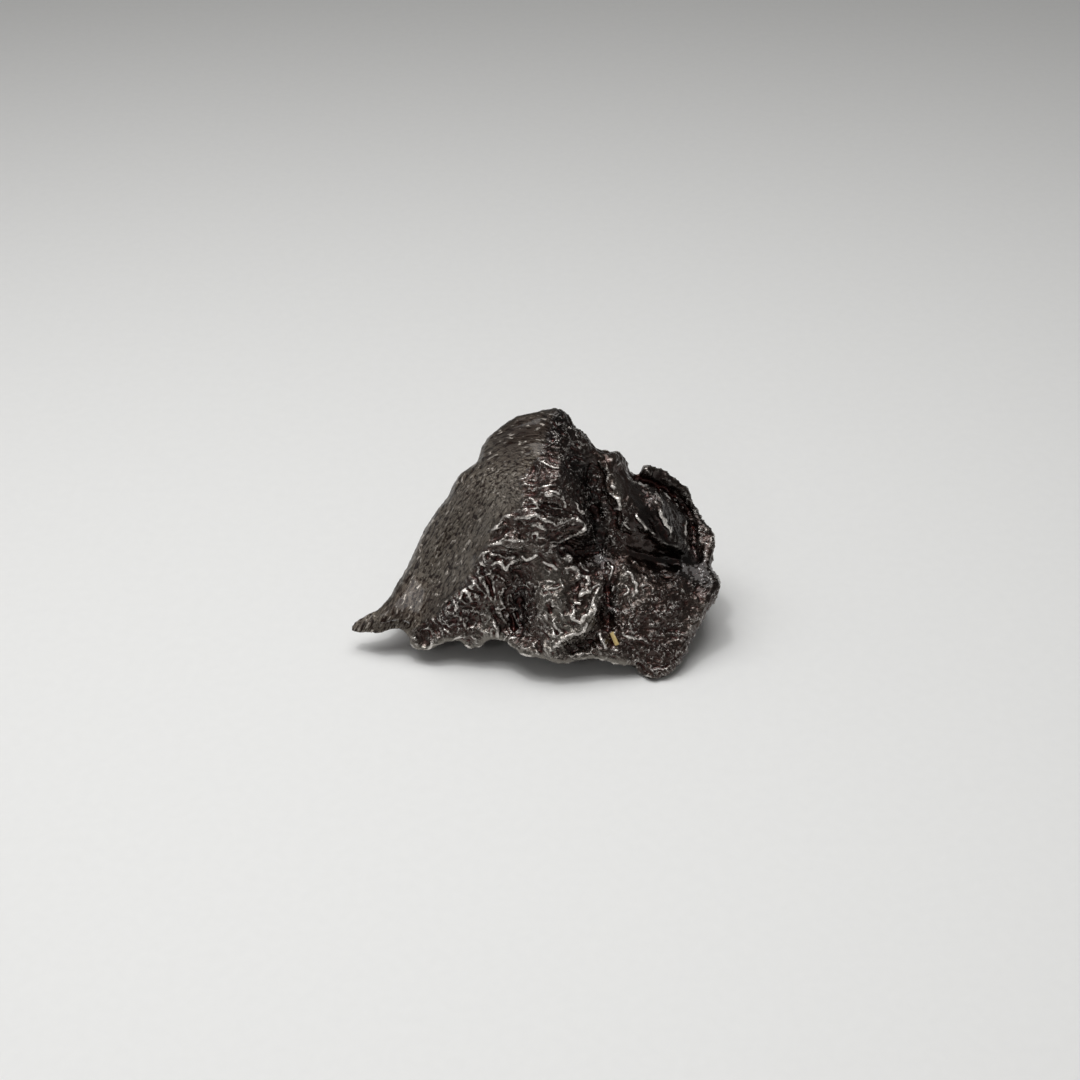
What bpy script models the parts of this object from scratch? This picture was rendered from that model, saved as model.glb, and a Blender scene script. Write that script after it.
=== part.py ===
"""A torn fragment of an iron meteorite, lying on three small feet.

The fragment is one solid. It is laid out the way a relief map is: a rim, which is its
outline seen from in front and above, and spot heights on the side that faces the viewer
and on the side that faces away. Each side is a thin plate bent through its spots, and the
two plates meet at the rim. Crests and hollows are then drawn on each side as strokes.
All landmarks are in millimetres.
"""

import math

import bmesh
import bpy
import numpy as np
from mathutils import Vector, noise
from mathutils.geometry import delaunay_2d_cdt

MM = 0.001

# The line of sight: how far it dips below the horizon, where it meets the fragment, and
# how far away the eye is. Landmarks are measured on the plane through that meeting point.
SIGHT_DIP = math.radians(38.0)
SIGHT_HEIGHT = 10.0
EYE_DISTANCE = 200.0

MESH_STEP = 0.45
LEAST_THICKNESS = 1.3
# How far the edge radii of the rim's stretches run into each other.
EDGE_BLEND = 0.3
VOXEL = 0.33
SMOOTHING_PASSES = 2
TRIANGLES = 9000
FEET_WORN_FLAT = 0.3

# The torn faces are crinkled at random, the smooth face is not.
CRINKLE = 0.55
CRINKLE_SIZE = 2.1
CRINKLE_FADE = 1.2
# Fineness, step between scales, scales, offset and gain of the creases.
CREASES = (1.0, 2.1, 3, 1.0, 2.0)

IRON_COLOUR = (0.085, 0.068, 0.062, 1.0)
IRON_METALLIC = 0.9
IRON_ROUGHNESS = 0.38

# The rim in stretches, clockwise from the pointed left end. Each has the radius of its edge
# and its points: right, up, height above the floor.
POINTED_END = (
    0.7,
    [
        (-19.3, -8.9, 2.6),
        (-18.4, -8.0, 3.1),
        (-17.3, -7.4, 3.7),
        (-16.0, -6.8, 4.3),
        (-15.6, -6.2, 4.5),
    ],
)
LEFT_FLANK = (
    1.9,
    [
        (-15.1, -5.9, 4.7),
        (-14.5, -4.6, 5.3),
        (-13.6, -3.1, 5.8),
        (-12.6, -1.2, 7.4),
        (-11.9, 0.4, 8.9),
        (-10.8, 2.4, 10.8),
        (-9.5, 4.0, 12.3),
        (-8.9, 5.2, 13.4),
        (-8.1, 6.5, 14.5),
        (-6.9, 7.4, 15.5),
        (-6.2, 8.1, 16.2),
        (-5.8, 9.4, 17.3),
        (-5.0, 10.5, 18.4),
        (-3.8, 11.5, 19.5),
    ],
)
PEAK = (
    1.6,
    [
        (-2.1, 12.5, 20.7),
        (-0.4, 12.85, 21.4),
        (1.1, 13.2, 22.0),
        (2.0, 13.05, 21.9),
        (2.9, 12.5, 21.3),
        (3.6, 11.2, 20.2),
        (4.6, 10.5, 19.4),
        (5.4, 9.5, 18.4),
    ],
)
KNOB_AND_NOTCH = (
    0.8,
    [
        (6.2, 8.95, 17.7),
        (7.5, 8.8, 17.4),
        (8.5, 8.3, 16.7),
        (8.9, 7.3, 15.5),
        (9.3, 6.6, 14.5),
        (9.9, 6.7, 14.4),
        (10.3, 7.3, 14.9),
        (10.9, 7.6, 15.1),
    ],
)
FAR_FLAPS = (
    0.6,
    [
        (12.0, 7.25, 14.6),
        (13.1, 6.7, 14.0),
        (14.4, 5.7, 13.0),
        (15.2, 4.9, 12.3),
        (15.3, 4.0, 11.5),
        (15.8, 3.4, 11.0),
        (16.1, 2.3, 10.2),
        (16.9, 1.5, 9.7),
        (17.4, 0.8, 9.3),
        (17.65, -0.6, 8.6),
        (17.4, -1.6, 8.0),
        (17.0, -2.7, 7.5),
    ],
)
LOWER_RIGHT = (
    1.1,
    [
        (17.6, -3.3, 7.3),
        (18.2, -4.4, 6.8),
        (17.8, -5.6, 6.0),
        (17.0, -6.7, 5.2),
        (16.3, -8.0, 4.3),
        (15.5, -9.4, 3.3),
        (14.8, -10.9, 2.4),
    ],
)
RIGHT_FOOT = (
    1.5,
    [
        (14.2, -12.2, 1.4),
        (13.2, -13.3, 0.8),
        (12.0, -13.95, 0.4),
        (11.1, -14.1, 0.3),
        (10.2, -13.6, 0.5),
    ],
)
LOWER_LIP = (
    0.6,
    [
        (9.3, -12.7, 1.4),
        (8.5, -12.7, 1.5),
        (7.0, -12.3, 2.2),
        (5.4, -11.95, 2.7),
        (3.9, -12.2, 2.5),
        (2.2, -12.5, 2.3),
        (0.5, -12.0, 2.7),
        (-1.3, -11.8, 2.8),
        (-2.3, -11.3, 3.1),
        (-3.1, -10.5, 3.4),
        (-4.2, -10.0, 3.6),
        (-5.2, -10.1, 3.4),
    ],
)
SMALL_FOOT_AND_BEAD = (
    0.8,
    [
        (-6.0, -10.8, 2.4),
        (-6.7, -11.05, 2.1),
        (-7.5, -10.7, 2.3),
        (-8.1, -10.15, 2.8),
        (-9.7, -10.3, 2.9),
        (-10.6, -10.9, 2.3),
        (-11.5, -11.1, 2.0),
        (-12.6, -11.0, 1.9),
        (-13.1, -10.2, 2.4),
        (-13.2, -9.6, 2.9),
    ],
)
LOWER_EDGE_OF_POINT = (
    0.5,
    [
        (-14.1, -8.9, 3.5),
        (-15.3, -9.2, 3.3),
        (-16.4, -9.5, 2.9),
        (-17.6, -9.4, 2.6),
        (-18.8, -9.4, 2.4),
    ],
)
RIM = [
    POINTED_END,
    LEFT_FLANK,
    PEAK,
    KNOB_AND_NOTCH,
    FAR_FLAPS,
    LOWER_RIGHT,
    RIGHT_FOOT,
    LOWER_LIP,
    SMALL_FOOT_AND_BEAD,
    LOWER_EDGE_OF_POINT,
]

# Spot heights on the side that faces the viewer: right, up, height.
SMOOTH_FACE = [
    (-14.0, -7.5, 4.7),
    (-12.0, -6.0, 5.5),
    (-12.0, -9.0, 3.8),
    (-10.0, -4.0, 7.2),
    (-10.0, 0.0, 10.2),
    (-8.0, -2.0, 9.6),
    (-8.0, 3.0, 13.2),
    (-6.0, 0.5, 12.2),
    (-5.0, 5.0, 15.6),
    (-3.0, 3.2, 15.2),
    (-3.0, 8.5, 18.2),
    (-1.0, 6.5, 17.9),
    (0.0, 10.5, 20.3),
]
KEEL = [
    (2.0, 9.5, 20.0),
    (3.6, 9.4, 19.2),
    (1.6, 6.5, 18.5),
    (0.3, 4.3, 17.2),
    (-2.0, 3.0, 15.9),
    (-4.0, 0.8, 13.8),
    (-5.8, -2.0, 11.3),
    (-7.5, -5.0, 8.4),
    (-9.5, -7.8, 5.3),
    (-11.2, -9.9, 2.6),
]
FRONT_SLOPE = [
    (0.0, 2.0, 15.2),
    (0.0, -1.0, 12.0),
    (0.0, -4.0, 9.5),
    (-3.0, -3.0, 9.9),
    (-8.0, -8.5, 4.6),
    (-6.0, -7.0, 6.2),
    (-5.0, -9.0, 4.4),
    (-2.5, -7.0, 5.9),
    (-2.3, -9.0, 4.2),
    (1.0, -6.0, 8.3),
    (1.5, -8.5, 6.3),
    (4.0, -7.0, 7.0),
    (3.5, -10.0, 4.2),
    (3.5, -3.5, 9.2),
]
VALLEY = [
    (5.0, 7.0, 17.0),
    (5.5, 4.0, 14.4),
    (6.2, 1.0, 11.8),
    (6.6, -2.0, 9.2),
    (6.8, -5.0, 7.4),
    (7.0, -8.0, 5.6),
    (6.0, -10.5, 3.8),
]
LIP = [
    (8.0, 5.2, 15.3),
    (11.0, 4.9, 14.1),
    (12.8, 3.9, 12.9),
    (14.1, 2.4, 11.4),
    (14.6, 0.0, 9.9),
    (15.1, -1.8, 8.5),
]
FACES_BEHIND_LIP = [
    (11.5, 6.2, 13.9),
    (14.0, 5.0, 12.5),
    (15.6, 2.8, 10.6),
    (16.5, 0.0, 8.8),
]
SCOOP = [
    (9.0, 3.0, 13.4),
    (11.0, 1.0, 11.6),
    (13.0, 0.5, 10.6),
    (10.0, -1.0, 9.5),
    (13.0, -2.5, 8.0),
    (9.0, -3.5, 8.6),
]
LOWER_RIGHT_MASS = [
    (11.0, -6.0, 7.0),
    (14.0, -5.0, 7.1),
    (16.5, -4.2, 7.0),
    (13.0, -8.0, 5.3),
    (10.0, -9.0, 4.9),
    (15.0, -8.0, 4.7),
    (12.0, -11.0, 3.0),
    (9.0, -11.3, 3.0),
    (11.5, -12.8, 1.5),
]
NEAR_SPOTS = (
    SMOOTH_FACE
    + KEEL
    + FRONT_SLOPE
    + VALLEY
    + LIP
    + FACES_BEHIND_LIP
    + SCOOP
    + LOWER_RIGHT_MASS
)

# Strokes on the side that faces the viewer: how far the stroke stands out, its half width
# and its line. A negative height is a hollow.
HOOKED_FLAP = [
    (4.0, -5.5),
    (5.0, -4.8),
    (6.1, -4.5),
    (5.6, -6.0),
    (5.3, -7.3),
    (4.7, -8.4),
    (3.8, -9.3),
    (2.4, -10.0),
    (1.0, -10.9),
]
BEHIND_LIP = [
    (9.6, 6.1),
    (11.0, 5.7),
    (12.4, 5.0),
    (13.6, 4.2),
    (14.6, 3.2),
    (15.1, 2.2),
    (15.2, 0.6),
    (15.2, -0.6),
    (15.6, -1.8),
]
NEAR_CRESTS = [
    (1.1, 0.9, [(7.6, 8.0)]),
    (0.5, 0.5, [(8.6, 6.5)]),
    (0.5, 0.5, [(8.5, 5.4)]),
    (0.5, 0.5, [(10.8, 7.2), (10.7, 6.2)]),
    (0.7, 0.6, [(6.4, 8.4), (7.1, 6.8), (7.4, 5.4), (7.9, 4.1), (8.2, 2.8), (8.6, 1.4)]),
    (1.0, 0.55, [(9.2, 3.8), (9.9, 2.0), (11.0, 1.0), (11.8, 0.2)]),
    (1.0, 0.55, [(11.6, 4.5), (12.1, 3.2), (12.6, 1.9), (13.2, 0.9), (13.8, -0.1)]),
    (0.5, 0.5, [(12.2, -0.2), (13.0, -0.6), (14.4, -1.4)]),
    (0.5, 0.5, [(8.9, 1.0), (9.6, -0.8)]),
    (0.5, 0.5, [(-0.6, 8.7), (-1.6, 8.2), (-2.4, 7.6)]),
    (0.9, 0.6, [(0.6, 4.8), (2.0, 4.2), (3.2, 3.6), (4.1, 2.9)]),
    (1.5, 0.9, [(0.3, 1.6), (2.0, 1.8), (3.6, 1.7), (4.2, 1.2)]),
    (0.6, 0.45, [(-5.0, 0.7), (-4.3, 1.3), (-3.4, 2.4), (-2.2, 2.5), (-1.0, 2.2)]),
    (0.7, 0.5, [(-5.2, -0.6), (-4.3, -0.4), (-3.5, 0.0), (-2.2, -0.1)]),
    (0.6, 0.5, [(-6.2, -2.0), (-5.4, -1.6), (-4.4, -2.4), (-3.2, -2.6), (-2.4, -2.2)]),
    (0.9, 0.55, [(1.0, -0.2), (2.1, -1.5), (3.2, -2.9), (4.4, -4.0)]),
    (1.2, 0.5, HOOKED_FLAP),
    (0.5, 0.5, [(-0.4, -4.7), (0.0, -6.0), (-0.2, -8.0)]),
    (0.5, 0.5, [(-3.5, -3.6), (-3.9, -6.0), (-3.8, -8.0), (-4.1, -9.4)]),
    (0.6, 0.4, [(6.1, -9.6), (6.5, -10.4), (7.1, -11.0), (8.0, -10.9)]),
    (0.5, 0.6, [(7.6, -4.8), (8.4, -3.2), (9.4, -3.9), (9.8, -5.0)]),
    (0.5, 0.6, [(10.6, -4.2), (12.0, -5.0), (13.2, -4.4)]),
    (0.4, 0.5, [(8.3, -9.5), (9.8, -9.8)]),
    (0.3, 0.5, [(-2.0, -11.3), (0.0, -11.4), (2.0, -11.9), (4.5, -11.4), (7.0, -11.8)]),
]
NEAR_HOLLOWS = [
    (-2.2, 0.5, BEHIND_LIP),
    (-0.5, 0.4, [(10.2, 6.6), (10.2, 6.0)]),
    (-0.8, 0.8, [(3.2, 7.9), (4.4, 6.4), (5.2, 4.8), (5.5, 2.6), (6.0, 1.0)]),
    (-0.5, 0.45, [(0.6, 3.2), (2.0, 2.8), (3.4, 2.5)]),
    (-0.5, 0.3, [(6.6, 8.2), (7.0, 7.3), (8.0, 7.0), (8.9, 6.9)]),
    (-0.6, 0.7, [(9.5, -1.4), (12.0, -2.2), (15.0, -2.5)]),
    (-1.7, 1.0, [(2.6, -0.6), (4.2, -1.2), (5.4, -0.8)]),
    (-0.9, 0.4, [(2.3, -0.9), (3.2, -2.2), (4.7, -3.6)]),
    (-0.6, 0.5, [(6.6, -4.6), (6.8, -6.4), (6.6, -7.8)]),
    (-0.8, 0.7, [(6.7, -7.8), (7.0, -8.8)]),
    (-0.6, 0.7, [(-1.5, -4.9), (-1.2, -6.2)]),
    (-0.7, 0.8, [(-2.6, -5.6), (-2.0, -7.2), (-3.0, -8.8)]),
    (-0.8, 0.5, [(1.4, -11.0), (3.2, -10.6), (4.8, -10.3)]),
    (-0.6, 0.45, [(-4.6, 0.3), (-3.4, 1.1), (-2.0, 1.2), (-0.8, 1.1)]),
    (-0.6, 0.4, [(-4.6, -1.2), (-3.0, -1.1), (-1.4, -1.1)]),
    (-0.7, 0.6, [(-0.4, 7.2), (0.4, 6.4), (-0.2, 5.6)]),
    (-0.4, 0.4, [(-0.6, 0.4)]),
    (-0.4, 0.4, [(-7.5, -5.3)]),
    (-0.5, 0.4, [(10.0, -12.6), (10.6, -12.9)]),
]

# Where the smooth face ends and the torn face begins, from its lower end to the peak.
SMOOTH_FACE_ENDS = [
    (-13.0, -9.8),
    (-11.7, -8.8),
    (-9.7, -7.0),
    (-8.1, -4.8),
    (-6.6, -2.4),
    (-5.2, -0.4),
    (-3.5, 2.3),
    (-2.3, 4.6),
    (-1.6, 7.0),
    (0.5, 9.0),
    (3.0, 11.0),
    (3.5, 14.0),
]

# Spot heights on the side that faces away: its wall, then the arched underside.
FAR_WALL = [
    (1.0, 11.0, 17.7),
    (1.0, 7.0, 12.2),
    (1.0, 3.0, 6.9),
    (1.0, -1.0, 2.2),
    (-2.0, 9.5, 15.8),
    (-5.0, 6.0, 12.2),
    (-5.0, 2.0, 6.7),
    (-5.0, -2.0, 2.0),
    (-9.0, 2.5, 9.7),
    (-9.0, 0.0, 6.2),
    (-9.0, -3.0, 2.7),
    (-12.0, -3.0, 4.0),
    (6.0, 6.0, 11.0),
    (6.0, 2.0, 5.5),
    (6.0, -1.5, 1.8),
    (11.0, 3.0, 7.6),
    (11.0, -1.0, 2.9),
    (15.0, 0.0, 5.7),
    (17.0, -3.0, 5.2),
]
UNDERSIDE = [
    (2.0, -3.2, 0.0),
    (4.0, -3.3, 0.0),
    (2.0, -5.0, 1.2),
    (2.0, -6.0, 2.5),
    (2.0, -8.0, 3.3),
    (2.0, -10.0, 3.2),
    (-12.0, -6.0, 1.4),
    (-15.5, -8.0, 3.0),
    (-11.6, -8.6, 0.0),
    (-12.0, -10.2, 1.1),
    (-8.0, -6.0, 1.0),
    (-8.0, -8.5, 1.6),
    (-5.0, -4.5, 0.8),
    (-4.0, -7.0, 2.2),
    (-4.0, -9.0, 2.8),
    (7.0, -5.0, 1.6),
    (7.0, -8.0, 2.4),
    (7.0, -10.5, 2.2),
    (11.0, -4.0, 1.4),
    (11.0, -8.0, 1.6),
    (11.5, -11.0, 0.6),
    (12.0, -12.5, 0.0),
    (15.0, -5.0, 2.4),
    (15.0, -8.0, 1.6),
]
FAR_SPOTS = FAR_WALL + UNDERSIDE

# Strokes on the wall that faces away, drawn as if seen through the fragment.
FAR_CRESTS = [
    (1.0, 0.9, [(-1.0, 10.5), (-0.5, 7.5), (1.5, 4.5), (1.8, 1.5)]),
    (0.9, 0.8, [(-7.5, 5.0), (-5.0, 3.5), (-3.5, 0.5)]),
    (0.9, 0.8, [(5.5, 7.5), (7.5, 4.5), (9.0, 1.0)]),
    (0.8, 0.7, [(11.0, 4.0), (12.5, 1.5), (13.0, -0.5)]),
    (0.7, 0.7, [(-10.5, 0.5), (-9.0, -1.5), (-6.5, -2.0)]),
]
FAR_HOLLOWS = [
    (-1.3, 1.3, [(-3.0, 7.5), (-2.5, 5.0)]),
    (-1.2, 1.2, [(3.8, 7.8), (4.4, 5.2), (4.8, 2.8)]),
    (-1.0, 1.1, [(-6.5, 1.0), (-7.5, -0.5)]),
    (-1.0, 1.0, [(9.3, 4.0), (10.3, 1.4)]),
    (-0.8, 0.9, [(-1.5, 1.8), (-1.0, -0.2)]),
    (-0.8, 0.8, [(14.6, 1.6), (15.2, -0.8)]),
]


def clear_scene():
    for old in list(bpy.data.objects):
        bpy.data.objects.remove(old, do_unlink=True)


def sight_rays(right, up):
    """The eye, and the rays from it through points of the measuring plane."""
    back = np.array([0.0, -math.cos(SIGHT_DIP), math.sin(SIGHT_DIP)])
    upward = np.array([0.0, math.sin(SIGHT_DIP), math.cos(SIGHT_DIP)])
    centre = np.array([0.0, 0.0, SIGHT_HEIGHT])
    eye = centre + back * EYE_DISTANCE
    on_plane = centre + np.outer(right, [1.0, 0.0, 0.0]) + np.outer(up, upward)
    return eye, on_plane - eye


def nearness(spots):
    """How far each spot lies in front of the measuring plane, from its height."""
    right, up, height = np.array(spots).T
    eye, rays = sight_rays(right, up)
    reach = (height - eye[2]) / rays[:, 2]
    return (1.0 - reach) * EYE_DISTANCE


def points_at(right, up, near):
    """Points on the lines of sight, that far in front of the measuring plane."""
    eye, rays = sight_rays(right, up)
    return eye + rays * (1.0 - near / EYE_DISTANCE)[:, None]


def plate_kernel(a, b):
    squared = ((a[:, None, :] - b[None, :, :]) ** 2).sum(axis=2)
    return 0.5 * squared * np.log(squared + 1e-9)


def thin_plate(spots, values):
    """A function of (right, up): the thin plate bent through the values at the spots."""
    count = len(spots)
    flat = np.column_stack([np.ones(count), spots])
    system = np.zeros((count + 3, count + 3))
    system[:count, :count] = plate_kernel(spots, spots)
    system[:count, count:] = flat
    system[count:, :count] = flat.T
    weights = np.linalg.solve(system, np.concatenate([values, np.zeros(3)]))

    def plate(at):
        bent = plate_kernel(at, spots) @ weights[:count]
        return bent + np.column_stack([np.ones(len(at)), at]) @ weights[count:]

    return plate


def rim_curve():
    """The rim as a closed smooth curve: right, up, height and edge radius every MESH_STEP."""
    corners = np.array([(*point, radius) for radius, points in RIM for point in points])
    curve = []
    for index in range(len(corners)):
        before, start, end, after = (corners[(index + k) % len(corners)] for k in (-1, 0, 1, 2))
        pieces = max(1, round(math.dist(start[:2], end[:2]) / MESH_STEP))
        for t in np.arange(pieces) / pieces:
            bend = (2 * before - 5 * start + 4 * end - after) * t**2
            twist = (3 * start - before - 3 * end + after) * t**3
            curve.append(start + 0.5 * ((end - before) * t + bend + twist))
    return np.array(curve)


def distances(points, targets):
    return np.sqrt(((points[:, None, :] - targets[None, :, :]) ** 2).sum(axis=2))


def edge_rounding(at, rim):
    """How far a side stands off the rim, so that its edge turns over in a quarter circle."""
    away = distances(at, rim[:, :2])
    pull = 1.0 / (away + EDGE_BLEND) ** 4
    radius = (pull * rim[:, 3]).sum(axis=1) / pull.sum(axis=1)
    share = np.clip(away.min(axis=1) / radius, 0.0, 1.0)
    return radius * np.sqrt(1.0 - (1.0 - share) ** 2)


def distance_to_line(at, line):
    """The distance from each point to a line through a few places, or to a single place."""
    line = np.array(line)
    nearest = distances(at, line).min(axis=1)
    for start, end in zip(line[:-1], line[1:]):
        along = end - start
        share = np.clip((at - start) @ along / (along @ along), 0.0, 1.0)
        gap = np.linalg.norm(at - start - share[:, None] * along, axis=1)
        nearest = np.minimum(nearest, gap)
    return nearest


def stroke_relief(at, strokes):
    relief = np.zeros(len(at))
    for height, half_width, line in strokes:
        relief += height * np.exp(-((distance_to_line(at, line) / half_width) ** 2))
    return relief


def crinkles(places):
    """Random sharp creases around zero, for places in space."""
    creases = [noise.ridged_multi_fractal(Vector(p) / CRINKLE_SIZE, *CREASES) for p in places]
    return np.array(creases) - 1.0


def torn_share(at):
    """0 on the smooth face and 1 on the torn face."""
    ends = np.array(SMOOTH_FACE_ENDS)
    beyond = at[:, 0] - np.interp(at[:, 1], ends[:, 1], ends[:, 0])
    return np.clip(beyond / CRINKLE_FADE, 0.0, 1.0)


def side_plate(rim, spots, toward, at):
    """How near one side is at each point. toward is 1 for the side that faces the viewer."""
    anchors = rim[::2]
    fixed = np.vstack([anchors[:, :2], np.array(spots)[:, :2]])
    near = np.concatenate([nearness(anchors[:, :3]), nearness(spots)])
    near -= toward * edge_rounding(fixed, rim)
    return thin_plate(fixed, near)(at) + toward * edge_rounding(at, rim)


def inner_points(rim):
    """A triangular grid over the rim's box, kept off the rim itself."""
    low, high = rim[:, :2].min(axis=0), rim[:, :2].max(axis=0)
    grid = []
    for row, up in enumerate(np.arange(low[1], high[1], MESH_STEP * math.sqrt(0.75))):
        shift = MESH_STEP / 2 if row % 2 else 0.0
        grid += [(right, up) for right in np.arange(low[0] + shift, high[0], MESH_STEP)]
    grid = np.array(grid)
    return grid[distances(grid, rim[:, :2]).min(axis=1) > MESH_STEP * 0.6]


def side_depths(at, rim):
    """How near both sides are at each point."""
    from_rim = distances(at, rim[:, :2]).min(axis=1)
    inside = np.clip(from_rim, 0.0, 1.0)
    front = side_plate(rim, NEAR_SPOTS, 1, at)
    front += inside * stroke_relief(at, NEAR_CRESTS + NEAR_HOLLOWS)
    front += inside * torn_share(at) * CRINKLE * crinkles(points_at(at[:, 0], at[:, 1], front))
    back = side_plate(rim, FAR_SPOTS, -1, at)
    back -= inside * stroke_relief(at, FAR_CRESTS + FAR_HOLLOWS)
    back -= inside * CRINKLE * crinkles(points_at(at[:, 0], at[:, 1], back))
    return front, np.minimum(back, front - LEAST_THICKNESS * inside)


def fragment_shell():
    """Both sides as one closed mesh, in metres."""
    rim = rim_curve()
    flat = np.vstack([rim[:, :2], inner_points(rim)])
    loop = list(range(len(rim)))
    vertices, _, faces, *_ = delaunay_2d_cdt([Vector(p) for p in flat], [], [loop], 1, 1e-5)
    at = np.array([tuple(v) for v in vertices])
    on_rim = distances(at, rim[:, :2]).min(axis=1) < 1e-3
    front, back = side_depths(at, rim)
    mesh = bmesh.new()
    near_points = [mesh.verts.new(p * MM) for p in points_at(at[:, 0], at[:, 1], front)]
    far_points = [
        near_points[i] if on_rim[i] else mesh.verts.new(p * MM)
        for i, p in enumerate(points_at(at[:, 0], at[:, 1], back))
    ]
    for face in faces:
        mesh.faces.new([near_points[i] for i in face])
        mesh.faces.new([far_points[i] for i in reversed(face)])
    bmesh.ops.delete(mesh, geom=[v for v in mesh.verts if not v.link_faces], context="VERTS")
    bmesh.ops.recalc_face_normals(mesh, faces=mesh.faces[:])
    return finished(mesh, "fragment_shell")


def finished(mesh, name):
    """The bmesh as new mesh data, and the bmesh freed."""
    data = bpy.data.meshes.new(name)
    mesh.to_mesh(data)
    mesh.free()
    return data


def evaluated_mesh(thing):
    bpy.context.view_layer.update()
    graph = bpy.context.evaluated_depsgraph_get()
    return bpy.data.meshes.new_from_object(thing.evaluated_get(graph))


def evened(data):
    """The same shape with even small faces, then with as few as TRIANGLES of them."""
    thing = bpy.data.objects.new("shell", data)
    bpy.context.scene.collection.objects.link(thing)
    remesh = thing.modifiers.new("even faces", "REMESH")
    remesh.mode = "VOXEL"
    remesh.voxel_size = VOXEL * MM
    ease = thing.modifiers.new("ease steps", "SMOOTH")
    ease.iterations = SMOOTHING_PASSES
    split = thing.modifiers.new("triangles", "TRIANGULATE")
    split.quad_method = "SHORTEST_DIAGONAL"
    fine = evaluated_mesh(thing)
    fewer = thing.modifiers.new("fewer faces", "DECIMATE")
    fewer.ratio = min(1.0, TRIANGLES / len(fine.polygons))
    coarse = evaluated_mesh(thing)
    bpy.data.objects.remove(thing, do_unlink=True)
    return coarse


def stood_on_feet(data):
    """The feet cut flat, and the mesh moved so that its box's bottom centre is the origin."""
    mesh = bmesh.new()
    mesh.from_mesh(data)
    everything = mesh.verts[:] + mesh.edges[:] + mesh.faces[:]
    floor = (0.0, 0.0, FEET_WORN_FLAT * MM)
    cut = bmesh.ops.bisect_plane(
        mesh, geom=everything, dist=1e-6, plane_co=floor, plane_no=(0, 0, 1), clear_inner=True
    )
    rims = [e for e in cut["geom_cut"] if isinstance(e, bmesh.types.BMEdge)]
    bmesh.ops.holes_fill(mesh, edges=rims)
    bmesh.ops.recalc_face_normals(mesh, faces=mesh.faces[:])
    corners = np.array([v.co for v in mesh.verts])
    low, high = corners.min(axis=0), corners.max(axis=0)
    origin = Vector(((low[0] + high[0]) / 2, (low[1] + high[1]) / 2, low[2]))
    bmesh.ops.translate(mesh, verts=mesh.verts, vec=-origin)
    return finished(mesh, "meteorite_fragment")


def iron():
    material = bpy.data.materials.new("iron")
    material.use_nodes = True
    shader = material.node_tree.nodes["Principled BSDF"]
    shader.inputs["Base Color"].default_value = IRON_COLOUR
    shader.inputs["Metallic"].default_value = IRON_METALLIC
    shader.inputs["Roughness"].default_value = IRON_ROUGHNESS
    return material


def main():
    clear_scene()
    data = stood_on_feet(evened(fragment_shell()))
    data.materials.append(iron())
    fragment = bpy.data.objects.new("meteorite_fragment", data)
    bpy.context.scene.collection.objects.link(fragment)


main()
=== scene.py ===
"""The look of a torn iron meteorite fragment: one smooth flank, and a hackly, pitted face.

The fragment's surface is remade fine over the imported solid, then worked in relief: crests
and hollows that can be told apart are drawn as strokes, and the rest is noise whose grain
differs from zone to zone. Strokes and zones are placed in millimetres to the right of and
above the middle of the view, on a plane square to the line of sight.
"""

import math

import bmesh
import bpy
import numpy as np
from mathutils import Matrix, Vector, noise
from mathutils.bvhtree import BVHTree

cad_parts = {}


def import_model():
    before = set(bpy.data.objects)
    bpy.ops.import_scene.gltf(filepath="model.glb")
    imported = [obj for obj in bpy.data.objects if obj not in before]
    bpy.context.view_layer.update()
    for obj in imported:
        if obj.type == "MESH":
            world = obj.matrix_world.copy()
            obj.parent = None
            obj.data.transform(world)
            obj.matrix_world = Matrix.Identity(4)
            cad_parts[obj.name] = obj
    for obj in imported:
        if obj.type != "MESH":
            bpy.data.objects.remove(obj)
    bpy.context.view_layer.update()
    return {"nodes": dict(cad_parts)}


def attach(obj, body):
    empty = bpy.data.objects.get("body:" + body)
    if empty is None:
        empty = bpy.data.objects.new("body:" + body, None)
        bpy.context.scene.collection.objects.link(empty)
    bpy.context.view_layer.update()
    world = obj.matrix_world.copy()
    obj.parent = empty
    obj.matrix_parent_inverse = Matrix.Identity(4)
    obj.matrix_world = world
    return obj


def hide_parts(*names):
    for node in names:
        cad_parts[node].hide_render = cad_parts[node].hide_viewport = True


MM = 0.001
NODE = "meteorite_fragment"

# The line of sight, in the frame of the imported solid.
SIGHT_DIP = math.radians(38.0)
SIGHT_CENTRE = Vector((0.54, 0.11, 9.7)) * MM
EYE_DISTANCE = 200.0 * MM
VIEW_WIDTH = 108.0 * MM
SENSOR_WIDTH = 36.0

# The fine mesh: even faces all over, each split in four where the torn face shows.
VOXEL = 0.247 * MM
EASING_PASSES = 9
SMOOTH_FACE_PASSES = 60
SPLIT_PASSES = 5
# Which faces are split: how much they face the viewer, and how far past the smooth face's end.
SPLIT_FACING = 0.05
SPLIT_MARGIN = 0.6

# Relief, in millimetres. Heights are along the surface's own direction.
# How far a face turns away from the viewer while its relief fades out.
SEEN_FADE = 0.35
# Fineness, step between scales, scales, offset and gain of the creases.
CREASES = (0.6, 2.3, 3, 1.0, 2.0)
# How wide the thin crests are, as a share of the floors between them.
CREST_SHARE = 0.11
# How far the strokes waver, and over what length.
WAVER = 0.22
WAVER_SIZE = 0.75
# The feet stay flat: the relief grows from nothing up to this height over the floor.
FEET_FADE = 0.6
# How often the surface is eased to tell what stands over it and what lies under it.
HEIGHT_PASSES = 14
# Where the three parts of a vector of noise are read.
SHIFT_OFFSETS = np.array([(3.7, 1.9, 8.3), (11.2, 6.4, 2.6), (5.1, 14.8, 9.7)])
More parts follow.
